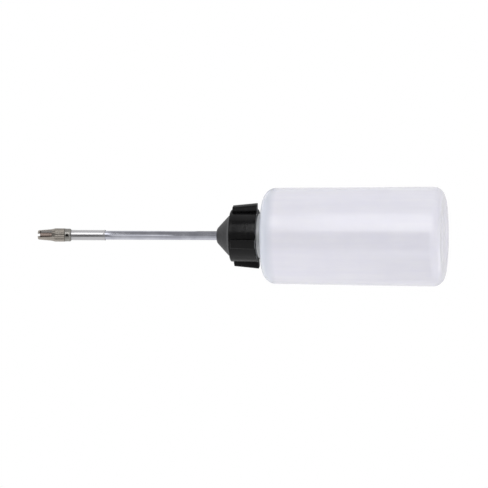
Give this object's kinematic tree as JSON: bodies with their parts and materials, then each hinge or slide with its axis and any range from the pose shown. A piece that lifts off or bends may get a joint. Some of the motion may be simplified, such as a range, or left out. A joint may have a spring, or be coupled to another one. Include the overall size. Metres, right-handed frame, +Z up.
{
  "type": "sewing machine oiler",
  "caption": "Milky squeeze bottle with a black lugged screw collar, a grey cone and a thin metal spout ending in a forked, fluted drip nozzle.",
  "frame": {"origin": "centre of the foot ring, on the surface that the bottle stands on", "axes": "+Z up along the bottle's axis towards the nozzle; the side that the picture shows faces -Y"},
  "size_m": [0.0362, 0.0362, 0.1501],
  "materials": {
    "milky_polyethylene": "satin, milky and translucent",
    "gasket_foam": "matte closed-cell foam",
    "grey_polypropylene": "matte moulded",
    "black_polypropylene": "satin moulded",
    "brass": "turned",
    "drawn_steel": "drawn",
    "polished_steel": "polished",
    "nickel_plate": "satin nickel plate",
    "nitrile_rubber": "matte"
  },
  "bodies": {
    "bottle": {"bottle_shell": "milky_polyethylene"},
    "spout": {"spout_cone": "grey_polypropylene", "mouth_gasket": "gasket_foam", "tube_ferrule": "brass", "spout_tube": "drawn_steel"},
    "collar": {"screw_collar": "black_polypropylene"},
    "valve": {"tip_sleeve": "polished_steel", "sleeve_washer": "nitrile_rubber", "check_spring": "drawn_steel", "nozzle_body": "polished_steel", "jet_tube": "brass"},
    "ball": {"check_ball": "polished_steel"},
    "tip_seal": {"tip_washer": "nitrile_rubber"},
    "tip": {"nozzle_tip": "nickel_plate"}
  },
  "joints": [
    {"name": "collar_turn", "type": "hinge", "parent": "spout", "child": "collar", "pos_m": [0, 0, 0.06861], "axis": [0, 0, 1], "range_deg": [0, 540]},
    {"name": "spout_lift", "type": "slide", "parent": "bottle", "child": "spout", "axis": [0, 0, 1], "range_m": [0, 0.0045]},
    {"name": "sleeve_pull", "type": "slide", "parent": "spout", "child": "valve", "axis": [0, 0, 1], "range_m": [0, 0.005]},
    {"name": "ball_lift", "type": "slide", "parent": "valve", "child": "ball", "axis": [0, 0, 1], "range_m": [0, 0.0006], "stiffness_N_per_m": 20, "springref_m": -0.002, "deforming": ["check_spring"]},
    {"name": "tip_turn", "type": "hinge", "parent": "tip_seal", "child": "tip", "pos_m": [0, 0, 0.14013], "axis": [0, 0, 1], "range_deg": [0, 1080]},
    {"name": "tip_lift", "type": "slide", "parent": "valve", "child": "tip_seal", "axis": [0, 0, 1], "range_m": [0, 0.0015]}
  ],
  "couplings": [
    {"joint": "collar_turn", "follows": "spout_lift", "rad_per_m": 2094.4},
    {"joint": "tip_turn", "follows": "tip_lift", "rad_per_m": 12566}
  ]
}
